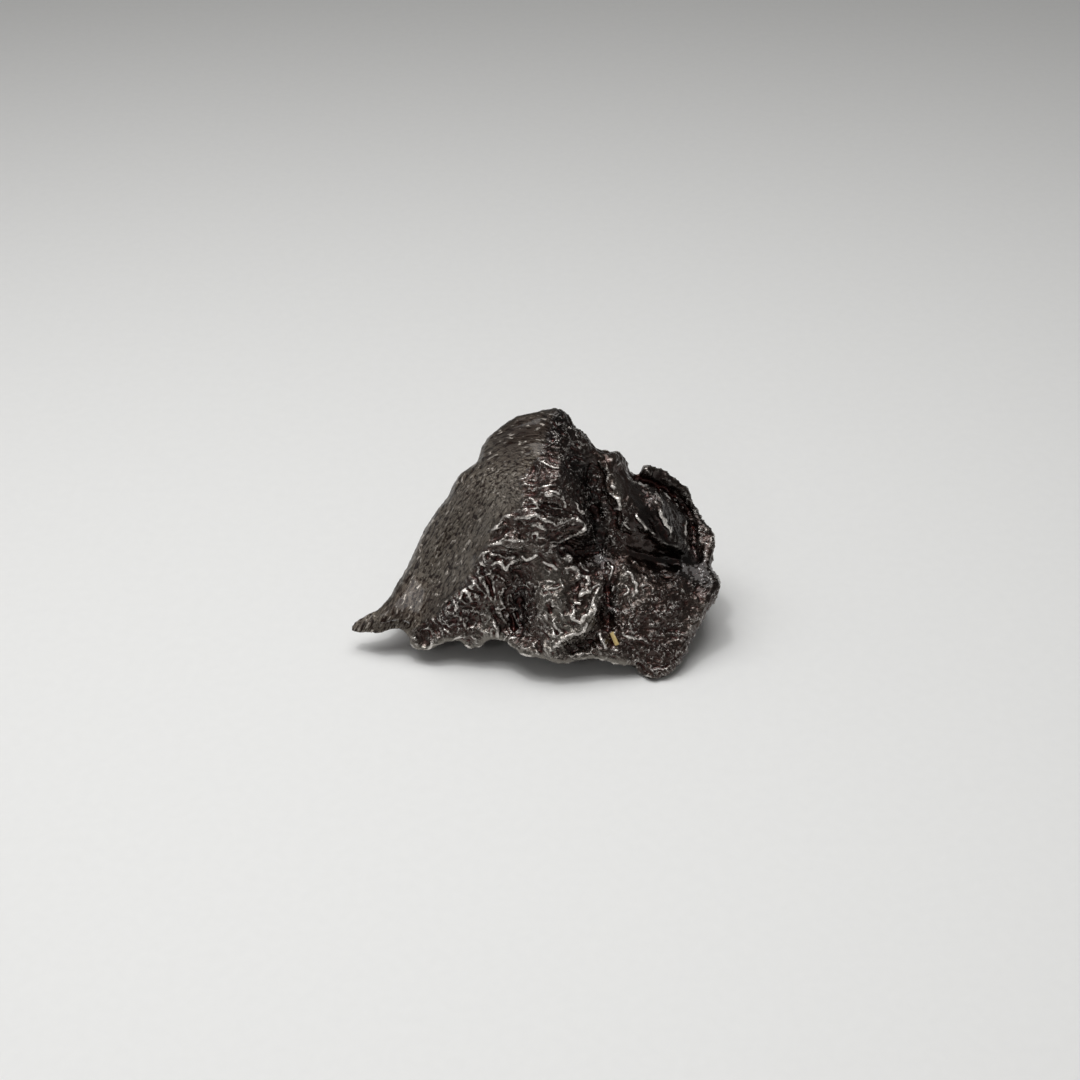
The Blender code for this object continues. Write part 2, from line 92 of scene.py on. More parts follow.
# Where the smooth face ends on the right, from its lower end to its top.
SMOOTH_FACE_ENDS = [
    (-13.0, -9.4),
    (-11.9, -8.4),
    (-10.1, -7.4),
    (-9.4, -6.3),
    (-8.0, -4.9),
    (-6.9, -3.4),
    (-5.7, -1.2),
    (-5.1, -0.4),
    (-4.8, 1.0),
    (-3.4, 2.5),
    (-2.0, 3.2),
    (-1.7, 4.4),
    (-2.0, 6.0),
    (-0.6, 7.7),
    (0.2, 8.8),
    (1.5, 13.5),
]
# The width of the change to the torn face, and how far from it the easing of dents stops.
TORN_FADE = 0.9
SMOOTH_FACE_MARGIN = 0.8
# On the sides that the viewer doesn't see: how calm they are, and how much of their height
# shows in their colour.
FAR_CALM = 0.35
FAR_SHOWN = 0.6
# The flow lines of the smooth face run straight along FLOW, right and up, and bend round
# FLOW_CENTRE above it. FLOW_RADIUS is where their length is true.
FLOW = (-0.50, -0.87)
FLOW_CENTRE = (-1.3, 2.4)
FLOW_RADIUS = 7.0

# The middle of the pitted mass at the lower right.
MASS_MIDDLES = [(9.5, -7.0), (13.0, -6.5), (14.0, -10.0)]
# Zones of the torn face: name, places of its middle, the way its creases run (right, up),
# how many times longer than wide they are, the size and height of its folds, and the size
# and height of the thin crests on them.
ZONES = [
    ("nose", [(-2.5, 1.0), (1.0, 2.5), (3.0, 0.5)], (1.0, -0.18), 3.4, 1.0, 0.30, 0.75, 0.08),
    ("under_peak", [(1.5, 9.5), (4.5, 8.0)], (0.9, -0.45), 2.2, 0.8, 0.18, 0.60, 0.05),
    ("valley", [(5.0, 5.5), (6.0, 1.0)], (0.45, -0.9), 2.6, 1.1, 0.24, 0.80, 0.06),
    ("ribs", [(10.5, 2.5), (13.0, 1.0)], (0.5, -0.85), 2.6, 1.2, 0.18, 0.90, 0.05),
    ("trough", [(11.5, -1.8), (14.5, -2.8)], (0.9, -0.3), 1.8, 1.2, 0.06, 0.80, 0.03),
    ("pitted_mass", MASS_MIDDLES, (0.8, -0.6), 1.4, 0.8, 0.16, 0.55, 0.08),
    ("mid_bump", [(1.8, -2.5), (2.5, -7.0)], (0.55, -0.8), 2.2, 1.1, 0.26, 0.80, 0.08),
    ("lower_left", [(-5.5, -4.0), (-6.0, -8.0)], (0.35, -0.95), 2.8, 1.0, 0.36, 0.90, 0.08),
    ("behind_lip", [(12.5, 6.2), (16.5, 0.5)], (0.8, -0.6), 2.0, 1.1, 0.15, 0.70, 0.06),
]
# How far a zone reaches from its middle before the next one takes over.
ZONE_REACH = 2.4

# The thin rim along the lower edge, from left to right.
LOWER_RIM = [
    (-13.0, -10.2),
    (-12.4, -10.9),
    (-11.4, -10.9),
    (-9.7, -10.2),
    (-8.1, -10.0),
    (-6.7, -10.9),
    (-5.2, -10.0),
    (-4.2, -9.9),
    (-3.1, -10.4),
    (-2.2, -11.2),
    (0.5, -11.9),
    (2.2, -12.4),
    (5.4, -11.8),
    (8.5, -12.5),
]
# How much of the folds is missing on the rim: share, half width, line.
RIM_WITHOUT_FOLDS = (0.9, 0.28, LOWER_RIM)

# Crests and hollows that can be told apart: height, half width, line.
FINE_CRESTS = [
    # The nose and the wavy folds left of it.
    (0.25, 0.14, [(-5.1, -0.6), (-4.4, -0.4), (-3.7, 0.0), (-3.0, -0.1), (-1.7, -0.2)]),
    (0.23, 0.13, [(-4.9, 1.0), (-4.3, 1.3), (-3.8, 1.8), (-3.4, 2.3), (-2.2, 2.4), (-1.0, 2.1)]),
    (0.22, 0.11, [(-2.3, 5.9), (-1.6, 6.2), (-0.5, 5.9)]),
    (0.14, 0.11, [(-0.5, 8.8), (-1.8, 8.1), (-2.4, 7.8)]),
    (0.11, 0.11, [(-4.6, 6.9), (-4.0, 7.0), (-3.4, 7.4)]),
    (0.23, 0.11, [(-0.9, 0.3), (-0.8, 0.7), (-0.4, 0.75), (-0.2, 0.4), (-0.35, 0.0)]),
    (0.27, 0.14, [(0.0, 0.4), (0.4, 0.1), (0.5, -0.2), (0.2, -0.5)]),
    (0.23, 0.13, [(1.1, -0.2), (1.6, -0.2), (1.3, -0.6), (1.1, -1.0)]),
    (0.23, 0.11, [(-1.2, 2.3), (-0.5, 2.5), (0.6, 2.0), (1.7, 1.5), (2.5, 1.9), (3.2, 2.1)]),
    (0.31, 0.13, [(1.8, -0.1), (2.6, 0.2), (3.7, 0.6), (4.3, 1.2), (4.2, 1.7), (3.6, 2.0)]),
    (0.31, 0.13, [(0.9, 5.0), (1.6, 4.8), (2.2, 4.3), (2.5, 3.8), (2.4, 3.5)]),
    (0.27, 0.11, [(3.0, 4.1), (3.6, 3.5), (4.0, 2.9), (4.1, 2.6)]),
    (0.22, 0.11, [(0.7, 3.8), (1.2, 3.3), (2.0, 3.0)]),
    (0.23, 0.11, [(-1.0, 4.1), (-0.4, 3.8), (-0.2, 3.3), (-0.6, 3.0)]),
    (0.18, 0.11, [(0.0, 8.0), (0.4, 7.7), (0.9, 7.5), (1.4, 7.2), (1.9, 7.1)]),
    # The rim of the valley and the shoulder right of it.
    (0.18, 0.11, [(5.9, 7.9), (6.2, 7.5), (6.0, 7.2)]),
    (0.18, 0.11, [(5.5, 6.4), (5.9, 6.2), (6.3, 6.3)]),
    (0.32, 0.18, [(7.0, 5.6), (7.4, 5.3)]),
    (0.32, 0.15, [(7.0, 4.6), (7.5, 4.4), (7.9, 4.1), (8.0, 3.1)]),
    (0.23, 0.14, [(7.4, 3.1), (7.9, 3.1)]),
    # The ribs under the lip, and the lip.
    (0.22, 0.14, [(9.6, 2.4), (10.2, 1.7), (10.6, 1.2), (11.0, 1.0), (11.5, 0.6)]),
    (0.24, 0.15, [(12.0, 2.8), (12.6, 1.7), (12.9, 1.1), (13.2, 0.4)]),
    (0.20, 0.13, [(11.5, 4.6), (11.9, 4.0), (12.2, 3.4)]),
    (0.20, 0.13, [(8.5, 1.7), (8.9, 1.2), (9.1, 0.8)]),
    (0.16, 0.13, [(12.2, -0.3), (12.8, -0.4), (13.8, -0.5)]),
    (0.20, 0.13, [(8.7, 6.0), (9.4, 5.7), (10.3, 5.5), (11.2, 5.1), (12.1, 4.6), (12.9, 4.1)]),
    (0.20, 0.13, [(13.6, 3.5), (14.2, 3.0), (14.5, 2.2), (14.5, 0.0), (14.8, -0.9), (15.2, -1.8)]),
    (0.18, 0.14, [(13.8, -3.1)]),
    (0.14, 0.16, LOWER_RIM),
    # The lower left of the torn face.
    (0.23, 0.14, [(-6.4, -2.4), (-6.2, -1.8), (-5.6, -1.3), (-5.0, -1.0)]),
    (0.27, 0.13, [(-6.0, -2.2), (-5.5, -2.4), (-5.2, -2.9)]),
    (0.27, 0.13, [(-6.1, -3.8), (-5.6, -3.6), (-5.2, -3.3)]),
    (0.27, 0.13, [(-4.9, -2.6), (-4.4, -2.2), (-3.9, -2.4), (-3.4, -2.7), (-2.6, -2.1)]),
    (0.23, 0.13, [(-4.8, -1.6), (-4.2, -1.4), (-3.4, -1.9), (-2.6, -1.7)]),
    (0.27, 0.13, [(-1.9, -1.8), (-1.4, -2.0), (-0.9, -1.7), (-0.3, -1.5)]),
    (0.32, 0.14, [(-6.9, -4.7), (-6.7, -4.2), (-6.6, -4.0)]),
    (0.32, 0.13, [(-7.9, -5.8), (-7.8, -5.2), (-7.4, -4.9), (-7.1, -5.3), (-7.3, -5.8)]),
    (0.27, 0.13, [(-9.0, -6.8), (-8.8, -6.3), (-8.4, -6.3), (-8.2, -6.7), (-8.5, -7.0)]),
    (0.23, 0.13, [(-9.4, -6.3), (-9.0, -5.7)]),
    (0.20, 0.11, [(-4.4, -6.9), (-4.0, -6.6), (-3.6, -6.1), (-3.5, -5.7)]),
    (0.18, 0.11, [(-5.6, -6.2), (-5.2, -6.0)]),
    (0.18, 0.11, [(-11.7, -8.9), (-11.2, -8.8)]),
    (0.18, 0.11, [(-9.6, -9.0), (-8.9, -8.5), (-8.0, -8.2), (-7.4, -8.6), (-7.1, -9.2)]),
    (0.18, 0.11, [(-6.2, -8.0), (-6.6, -8.7), (-7.1, -9.0)]),
    # The bump in the middle of the lower edge, with its hooked flap.
    (0.32, 0.14, [(0.4, -2.3), (0.9, -2.6), (1.5, -3.0)]),
    (0.27, 0.11, [(0.7, -4.2), (1.2, -4.1), (1.5, -4.2)]),
    (0.27, 0.14, [(2.1, -0.8), (2.6, -1.8), (3.2, -2.7), (3.9, -3.4), (4.6, -3.9), (4.8, -4.4)]),
    (0.27, 0.14, [(3.9, -2.4), (4.3, -2.8), (4.6, -3.2)]),
    (0.32, 0.14, [(4.1, -5.5), (4.6, -5.1), (5.0, -4.8), (5.6, -4.5), (6.2, -4.5)]),
    (0.27, 0.14, [(5.9, -4.8), (5.5, -5.6), (5.4, -6.5), (5.2, -7.4)]),
    (0.36, 0.15, [(3.4, -7.1), (3.2, -7.7), (3.6, -8.1), (4.1, -8.4), (4.5, -8.0), (4.9, -7.2)]),
    (0.32, 0.14, [(3.5, -6.2), (3.9, -6.3)]),
    (0.32, 0.14, [(0.5, -7.6), (0.9, -8.3), (1.2, -9.0), (1.6, -9.9), (2.2, -9.4)]),
    (0.27, 0.14, [(1.4, -8.0), (1.7, -8.7), (2.0, -9.3)]),
    (0.27, 0.14, [(4.7, -8.4), (4.2, -9.1), (3.2, -9.5), (2.2, -10.0), (1.0, -10.9)]),
    (0.18, 0.14, [(-0.4, -4.7), (0.4, -5.0), (1.4, -4.9), (2.6, -4.6)]),
    # The pitted mass at the lower right.
    (0.27, 0.13, [(6.9, -2.2), (7.2, -2.9), (7.2, -3.5), (6.9, -3.9)]),
    (0.32, 0.14, [(8.3, -3.1), (8.9, -3.3), (9.3, -3.8), (9.6, -4.5), (9.7, -5.1), (9.3, -5.6)]),
    (0.27, 0.14, [(8.6, -4.6), (8.9, -5.1), (8.5, -5.4)]),
    (0.27, 0.14, [(7.5, -4.7), (7.3, -5.1)]),
    (0.23, 0.14, [(10.3, -4.5), (10.9, -4.5)]),
    (0.23, 0.14, [(9.4, -2.2), (9.8, -2.5)]),
    (0.27, 0.13, [(8.3, -9.5), (8.9, -9.6), (9.5, -9.9), (10.1, -9.8)]),
    (0.32, 0.13, [(6.0, -9.5), (6.3, -10.1), (6.6, -10.7), (7.2, -11.0), (7.9, -11.0)]),
]
FINE_HOLLOWS = [
    (-0.20, 0.40, [(6.7, -7.8), (7.0, -8.8)]),
    (-0.35, 0.40, [(7.2, -9.9), (7.5, -10.3)]),
    (-0.20, 0.25, [(6.6, -4.6), (6.9, -6.2)]),
    (-0.35, 0.25, [(9.6, 6.3), (10.6, 6.0), (11.6, 5.6), (12.6, 5.0), (13.4, 4.4)]),
    (-0.35, 0.35, [(0.9, -7.2), (0.8, -6.6)]),
    (-0.30, 0.20, [(9.9, -12.6), (10.4, -12.8)]),
    (-0.30, 0.15, [(12.3, -12.7), (12.9, -12.5)]),
]

# Places of the torn face with less of the smallest creases: how much less, half width, line.
CALM = [
    (0.8, 0.35, LOWER_RIM),
    (0.8, 1.2, [(9.5, -1.2), (12.0, -2.0), (15.5, -2.4)]),
    (0.5, 1.6, [(10.5, 2.6), (12.5, 1.2)]),
    (0.9, 1.2, [(6.4, 8.8), (8.6, 7.6), (9.0, 5.6)]),
    (0.8, 0.9, [(10.4, 7.4), (12.0, 7.0), (14.0, 5.8)]),
]

# The edge of the hooked flap on the middle bump.
HOOKED_EDGE = [(6.1, -4.5), (5.6, -6.0), (5.3, -7.3), (4.7, -8.4), (3.8, -9.3), (1.0, -10.9)]
# Paler and darker places on the side that faces the viewer, as dust, painted highlight and painted
# shade: how much, half width, line.
PAINTED_LIGHT_AND_DUST = [
    # Dust along the lower rim, with painted reflection of the floor.
    (1.3, 0.22, LOWER_RIM),
    (0.45, 1.0, LOWER_RIM),
    # Dust on the lower left and on the middle bump.
    (0.7, 1.5, [(-4.6, -7.2), (-5.0, -9.0)]),
    (0.8, 1.6, [(0.8, -4.8), (1.4, -7.0), (2.4, -9.4)]),
    # Painted highlight along the edge of the hooked flap.
    (0.7, 0.8, HOOKED_EDGE),
    # A paler band along the diagonal crest.
    (0.3, 1.2, [(-4.0, -0.9), (-1.0, -1.0), (0.6, -2.2), (2.2, -3.6)]),
    # Painted highlights on the lit edge of the shoulder and on a rib of the pitted mass.
    (0.5, 0.7, [(7.6, 5.6), (7.9, 3.4)]),
    (0.5, 1.4, [(8.6, -3.8), (9.4, -5.2)]),
    # A slightly paler right edge.
    (0.15, 1.2, [(14.0, -9.0), (16.6, -5.4), (17.4, -2.0)]),
    # Painted shade in the valley, the pockets and hollows, the trough, on the top of the peak and
    # on the lit lower flank.
    (-0.8, 1.5, [(3.6, 7.6), (4.6, 6.0), (5.4, 3.2), (5.6, 0.4), (6.2, -2.0)]),
    (-0.8, 0.9, [(6.8, -4.6), (7.0, -7.0)]),
    (-0.7, 1.2, [(-1.8, -5.2), (-2.4, -8.6)]),
    (-0.4, 1.0, [(9.5, -1.4), (12.0, -2.2), (15.5, -2.6)]),
    (-1.0, 2.6, [(-2.6, 10.6), (1.0, 11.6)]),
    (-0.7, 2.0, [(-14.6, -7.2), (-12.8, -5.4), (-10.8, -6.6)]),
    (-0.35, 1.6, [(-8.0, -6.4), (-5.6, -2.6)]),
    # A paler grey strip on the smooth face beside the torn face.
    (0.35, 1.0, [(-9.2, -4.4), (-8.0, -2.8), (-6.6, 0.0), (-4.6, 3.2), (-2.8, 6.0)]),
    # Painted shade under the lip, in the channel behind it, and on the knob at the right edge.
    (-0.7, 2.2, [(10.5, 2.5), (13.0, 0.0), (14.0, -2.0)]),
    (-0.5, 1.5, [(10.5, 6.4), (13.5, 5.2), (15.8, 1.8)]),
    (-1.0, 1.3, [(15.6, -2.8), (16.8, -4.2)]),
]

# Colours of the iron.
SMOOTH_DARK = (0.088, 0.065, 0.050)
SMOOTH_LIGHT = (0.255, 0.227, 0.186)
# Darker between the flow lines, and painted shade in the nicks.
SMOOTH_BROWN = (0.018, 0.009, 0.006)
SMOOTH_SHADE = (0.040, 0.029, 0.023)
# Painted glints on the beads.
SMOOTH_BEAD_GLINT = (0.50, 0.45, 0.40)
TORN_DARK = (0.024, 0.011, 0.009)
TORN_LIGHT = (0.064, 0.042, 0.033)
# Painted shade on the torn face.
TORN_PAINTED_SHADE = (0.009, 0.006, 0.005)
# Dust, and painted highlight where the strokes mark lit edges and the lower rim.
DUST_AND_HIGHLIGHT = (0.165, 0.149, 0.129)
RECESS = (0.050, 0.011, 0.008)
# Wear on the crests, and painted highlight.
WORN_CREST_AND_HIGHLIGHT = (0.88, 0.83, 0.78)

# Marks on the iron, in waves to the metre, and how much longer they are along the flow lines.
MOTTLE = 420.0
STREAKS = 5400.0
STREAK_STRETCH = 3.2
# Beads, which the colour paints as glints.
BEADS = 3300.0
BEAD_STRETCH = 2.6
BEAD_PATCHES = 700.0
HAIRS = 1500.0
HAIR_PATCHES = 1100.0
WRINKLES = 2600.0
CREST_PATCHES = 900.0
# Patches of wear and painted highlight along the strokes.
WEAR_AND_HIGHLIGHT_PATCHES = 2400.0
SHINE = 3600.0

# Depth of the marks that are only shaded, at full strength.
SMOOTH_BUMP = 0.11 * MM
TORN_BUMP = 0.014 * MM

# The yellow grain stuck in its cup, in millimetres: the two ends of its middle line in the
# view, its width, how far it stands out, and the rounding of its edges.
GRAIN_ENDS = [(7.25, -9.25), (7.75, -10.55)]
GRAIN_WIDTH = 0.42
GRAIN_PROUD = 0.12
GRAIN_ROUNDING = 0.07
GRAIN_DARK = (0.50, 0.34, 0.10)
GRAIN_LIGHT = (0.72, 0.58, 0.30)

# The stage, in metres and watts. Lights: name, place, what they point at, sizes, power.
FLOOR_HALF = 0.6
FLOOR_DARK = (0.77, 0.77, 0.76)
FLOOR_LIGHT = (0.80, 0.80, 0.79)
LIGHTS = [
    ("overhead", (-0.04, -0.01, 0.285), (0.0, -0.36, 0.0), (0.26, 0.32), 0.80),
    ("lamp", (-0.07, 0.04, 0.36), (0.0, 0.0, 0.01), (0.04, 0.04), 0.20),
    ("window", (-0.22, -0.34, 0.28), (0.0, 0.0, 0.01), (0.06, 0.06), 0.08),
    ("left_wall", (-0.50, 0.05, 0.25), (0.0, 0.0, 0.01), (0.45, 0.45), 0.25),
]
WORLD_COLOUR = (1.0, 0.99, 0.97, 1.0)
WORLD_STRENGTH = 0.165


def sight_axes():
    """Unit vectors: right, up, and back towards the eye."""
    back = Vector((0.0, -math.cos(SIGHT_DIP), math.sin(SIGHT_DIP)))
    up = Vector((0.0, math.sin(SIGHT_DIP), math.cos(SIGHT_DIP)))
    return Vector((1.0, 0.0, 0.0)), up, back


def eye_position():
    return SIGHT_CENTRE + sight_axes()[2] * EYE_DISTANCE


def seen_at(points):
    """Where points show: millimetres right of and above the middle of the view."""
    right, up, back = (np.array(axis) for axis in sight_axes())
    from_eye = points - np.array(eye_position())
    scale = EYE_DISTANCE / -(from_eye @ back) / MM
    return np.column_stack([from_eye @ right * scale, from_eye @ up * scale])


def direction_in_space(right_up):
    right, up, _ = sight_axes()
    return np.array((right * right_up[0] + up * right_up[1]).normalized())


def new_object(name, data):
    thing = bpy.data.objects.new(name, data)
    bpy.context.scene.collection.objects.link(thing)
    return thing


def evaluated_mesh(thing):
    bpy.context.view_layer.update()
    graph = bpy.context.evaluated_depsgraph_get()
    return bpy.data.meshes.new_from_object(thing.evaluated_get(graph))


# The fine mesh, as arrays.


def even_mesh(node):
    """The node's shape with even faces, as a new mesh."""
    draft = new_object("draft", node.data.copy())
    remesh = draft.modifiers.new("even faces", "REMESH")
    remesh.mode = "VOXEL"
    remesh.voxel_size = VOXEL
    mesh = evaluated_mesh(draft)
    bpy.data.objects.remove(draft, do_unlink=True)
    return mesh


def get_points(mesh):
    points = np.empty(len(mesh.vertices) * 3)
    mesh.vertices.foreach_get("co", points)
    return points.reshape(-1, 3)


def set_points(mesh, points):
    mesh.vertices.foreach_set("co", points.ravel())
    mesh.update()


def get_normals(mesh):
    normals = np.empty(len(mesh.vertices) * 3)
    mesh.vertex_normals.foreach_get("vector", normals)
    return normals.reshape(-1, 3)


def get_edges(mesh):
    edges = np.empty(len(mesh.edges) * 2, dtype=np.int64)
    mesh.edges.foreach_get("vertices", edges)
    return edges.reshape(-1, 2)


def neighbour_mean(values, edges):
    """The mean of each vertex's neighbours. values has one row or one number a vertex."""
    count = len(values)
    ends = np.concatenate([edges[:, 0], edges[:, 1]])
    others = np.concatenate([edges[:, 1], edges[:, 0]])
    degree = np.bincount(ends, minlength=count)
    columns = values.reshape(count, -1).T
    sums = [np.bincount(ends, weights=column[others], minlength=count) for column in columns]
    return (np.array(sums) / degree).T.reshape(values.shape)


def eased(values, edges, passes, keep_size=True):
    """Smoothed along the mesh. keep_size pushes back after each pass, so nothing shrinks."""
    for _ in range(passes):
        values = values + 0.5 * (neighbour_mean(values, edges) - values)
        if keep_size:
            values = values - 0.52 * (neighbour_mean(values, edges) - values)
    return values


def facing_eye(mesh):
    """For each vertex, 1 where the surface faces the eye and -1 where it faces away."""
    to_eye = np.array(eye_position()) - get_points(mesh)
    return (get_normals(mesh) * to_eye).sum(axis=1) / np.linalg.norm(to_eye, axis=1)


def split_torn_faces(mesh):
    """Four faces for each one where the viewer sees the torn face."""
    torn = torn_share(seen_at(get_points(mesh)) + np.array([SPLIT_MARGIN, 0.0])) > 0.5
    seen = torn & (facing_eye(mesh) > SPLIT_FACING)
    shape = bmesh.new()
    shape.from_mesh(mesh)
    edges = [e for e in shape.edges if all(seen[v.index] for v in e.verts)]
    bmesh.ops.subdivide_edges(shape, edges=edges, cuts=1, use_grid_fill=True)
    shape.to_mesh(mesh)
    shape.free()


def ease_smooth_face(mesh):
    """Takes the last dents out of the smooth face, away from its edges."""
    base = get_points(mesh)
    inward = smooth_step((facing_eye(mesh) - 0.25) / 0.3)
    inward *= 1.0 - torn_share(seen_at(base) + np.array([SMOOTH_FACE_MARGIN, 0.0]))
    soft = eased(base, get_edges(mesh), SMOOTH_FACE_PASSES, keep_size=False)
    set_points(mesh, base + inward[:, None] * (soft - base))


def fine_mesh(node):
    mesh = even_mesh(node)
    set_points(mesh, eased(get_points(mesh), get_edges(mesh), EASING_PASSES))
    ease_smooth_face(mesh)
    split_torn_faces(mesh)
    set_points(mesh, eased(get_points(mesh), get_edges(mesh), SPLIT_PASSES))
    return mesh


# Relief.


def smooth_step(values):
    values = np.clip(values, 0.0, 1.0)
    return values * values * (3.0 - 2.0 * values)


def torn_share(at):
    """0 on the smooth face and 1 on the torn face, for places in the view."""
    ends = np.array(SMOOTH_FACE_ENDS)
    beyond = at[:, 0] - np.interp(at[:, 1], ends[:, 1], ends[:, 0])
    return smooth_step(0.5 + beyond / TORN_FADE)


def zone_shares(at):
    """How much of each zone there is at each place. The shares at a place add up to 1."""
    pulls = []
    for zone in ZONES:
        middles = np.array(zone[1])
        gap = ((at[:, None, :] - middles[None, :, :]) ** 2).sum(axis=2).min(axis=1)
        pulls.append(np.exp(-gap / ZONE_REACH**2) + 1e-9)
    pulls = np.array(pulls)
    return pulls / pulls.sum(axis=0)


def distance_to_line(at, line):
    """The distance from each place to a line through a few places, or to a single place."""
    line = np.array(line)
    nearest = np.linalg.norm(at[:, None, :] - line[None, :, :], axis=2).min(axis=1)
    for start, end in zip(line[:-1], line[1:]):
        along = end - start
        share = np.clip((at - start) @ along / (along @ along), 0.0, 1.0)
        gap = np.linalg.norm(at - start - share[:, None] * along, axis=1)
        nearest = np.minimum(nearest, gap)
    return nearest


def strokes_at(at, strokes):
    """What a set of soft strokes adds up to at each place."""
    amounts = np.zeros(len(at))
    for amount, half_width, line in strokes:
        amounts += amount * np.exp(-((distance_to_line(at, line) / half_width) ** 2))
    return amounts


def stretched(points, direction, times):
    """Points squeezed along a direction, so that noise read there is stretched along it."""
    along = points @ direction
    return points + np.outer(along * (1.0 / times - 1.0), direction)


def plain_noise(points, size):
    return np.array([noise.noise(Vector(p)) for p in points / size])


def shifts(points, size):
    """For each point, a vector of noise."""
    parts = [plain_noise(points + offset * size, size) for offset in SHIFT_OFFSETS]
    return np.column_stack(parts)


def warped(points, size, amount):
    """Points shifted by noise of a larger size, which bends whatever is read there."""
    return points + shifts(points, size) * amount


def creases(points, size):
    """Sharp crests with rounded troughs, around zero."""
    ridges = [noise.ridged_multi_fractal(Vector(p), *CREASES) for p in points / size]
    return np.array(ridges) - 1.0


def thin_crests(points, size):
    """Thin crests between wide flat floors, around zero."""
    lines = np.exp(-np.abs(plain_noise(points, size)) / CREST_SHARE)
    return lines * (0.5 + 1.4 * np.clip(0.5 + plain_noise(points, 2.1 * size), 0.0, 1.0)) - 0.35


def pits(points, size):
    """Small pits in an even surface."""
    return -np.clip(plain_noise(points, size) - 0.12, 0.0, None)


def ragged_strokes(points, at):
    """The fine crests and the fine hollows, wavering and broken like torn foil."""
    wavering = at + shifts(points, WAVER_SIZE)[:, :2] * WAVER
    broken = np.clip(0.75 + 0.9 * plain_noise(points, 0.7), 0.25, 1.4)
    return broken * strokes_at(wavering, FINE_CRESTS), strokes_at(wavering, FINE_HOLLOWS)


def near_relief(points, at):
    """Relief of the torn face that the viewer sees, in millimetres."""
    relief = np.zeros(len(points))
    shares = zone_shares(at)
    bent = warped(warped(points, 3.2, 0.9), 1.0, 0.30)
    for (_, _, runs, times, size, height, crest_size, crest_height), share in zip(ZONES, shares):
        strong = share > 0.02
        place = stretched(bent[strong], direction_in_space(runs), times)
        folds = height * creases(place, size)
        crests = crest_height * thin_crests(place, crest_size)
        relief[strong] += share[strong] * (folds + crests)
    return relief


def far_relief(points):
    """Relief of the sides that the viewer doesn't see."""
    bent = warped(points, 3.6, 1.1)
    return 0.28 * creases(bent, 1.7) + 0.10 * creases(bent, 1.0)


def flow_places(at):
    """Where places lie along and across the flow lines of the smooth face, in millimetres."""
    flow = np.array(FLOW) / np.linalg.norm(FLOW)
    from_centre = at - np.array(FLOW_CENTRE)
    along = from_centre @ flow
    across = from_centre @ np.array([flow[1], -flow[0]])
    bend = np.arctan2(along, across) * FLOW_RADIUS
    radius = np.hypot(np.minimum(along, 0.0), across)
    return np.column_stack([np.where(along > 0.0, along, bend), radius])


def smooth_face_relief(flow):
    """Low waves along the flow lines of the smooth flank."""
    place = np.column_stack([flow[:, 0] / 5.0, flow[:, 1], np.zeros(len(flow))])
    return 0.05 * plain_noise(warped(place, 3.0, 0.4), 0.55)


def fine_torn_relief(points):
    """The smallest crests and pits of the torn face, in patches."""
    patches = smooth_step(0.5 + 1.6 * plain_noise(points, 1.9))
    finest = 0.055 * thin_crests(points, 0.34) + 0.20 * pits(points, 0.42)
    return (0.3 + 0.7 * patches) * finest


def larger_relief(points, at, seen, torn):
    """Folds where the torn face is seen, and creases on the sides that aren't."""
    relief = seen * torn * near_relief(points, at)
    relief += (1.0 - seen) * (0.3 + 0.7 * torn_share(at)) * far_relief(points)
    return relief * (1.0 - np.clip(strokes_at(at, [RIM_WITHOUT_FOLDS]), 0.0, 1.0))


def work_surface(mesh):
    """Adds the relief, and stores what the material reads of it at each vertex."""
    base = get_points(mesh)
    normals = get_normals(mesh)
    points = base / MM
    at = seen_at(base)
    flow = flow_places(at)
    seen = smooth_step((facing_eye(mesh) + 0.05) / SEEN_FADE)
    torn = seen * torn_share(at) + (1.0 - seen)
    calm = seen * np.clip(strokes_at(at, CALM), 0.0, 1.0) + (1.0 - seen) * FAR_CALM
    crests, hollows = ragged_strokes(points, at)
    relief = larger_relief(points, at, seen, torn)
    relief += (1.0 - torn) * smooth_face_relief(flow)
    relief += seen * torn * (1.0 - calm) * fine_torn_relief(points)
    relief += seen * (crests + hollows)
    relief *= smooth_step(points[:, 2] / FEET_FADE)
    moved = base + normals * (relief * MM)[:, None]
    moved[:, 2] = np.maximum(moved[:, 2], 0.0)
    set_points(mesh, moved)
    around = eased(moved, get_edges(mesh), HEIGHT_PASSES, keep_size=False)
    height = ((moved - around) * normals).sum(axis=1) / MM
    store(mesh, "torn", torn)
    store(mesh, "calm", calm)
    # Where the strokes are pale with wear and painted highlight.
    store(mesh, "wear_and_highlight", seen * crests)
    store(mesh, "height", height * (FAR_SHOWN + (1.0 - FAR_SHOWN) * seen))
    # Dust, painted highlight and painted shade, from the strokes above.
    store(mesh, "dust_and_painted_light", seen * strokes_at(at, PAINTED_LIGHT_AND_DUST))
    store(mesh, "along_flow", flow[:, 0])
    store(mesh, "across_flow", flow[:, 1])


def store(mesh, name, values):
    layer = mesh.attributes.new(name, "FLOAT", "POINT")
    layer.data.foreach_set("value", values)


# Materials.


def node_maker(material):
    tree = material.node_tree

    def make(kind, inputs=None, **settings):
        node = tree.nodes.new(kind)
        for key, value in settings.items():
            setattr(node, key, value)
        for key, value in (inputs or {}).items():
            if isinstance(value, bpy.types.NodeSocket):
                tree.links.new(value, node.inputs[key])
            else:
                node.inputs[key].default_value = value
        return node

    return make


def mixed(make, factor, low, high):
    """The colour between two colours."""
    node = make("ShaderNodeMix", {"Factor": factor}, data_type="RGBA")
    for key, value in (("A", low), ("B", high)):
        socket = next(s for s in node.inputs if s.name == key and s.type == "RGBA")
        if isinstance(value, bpy.types.NodeSocket):
            node.id_data.links.new(value, socket)
        else:
            socket.default_value = (*value, 1.0)
    return next(s for s in node.outputs if s.type == "RGBA")


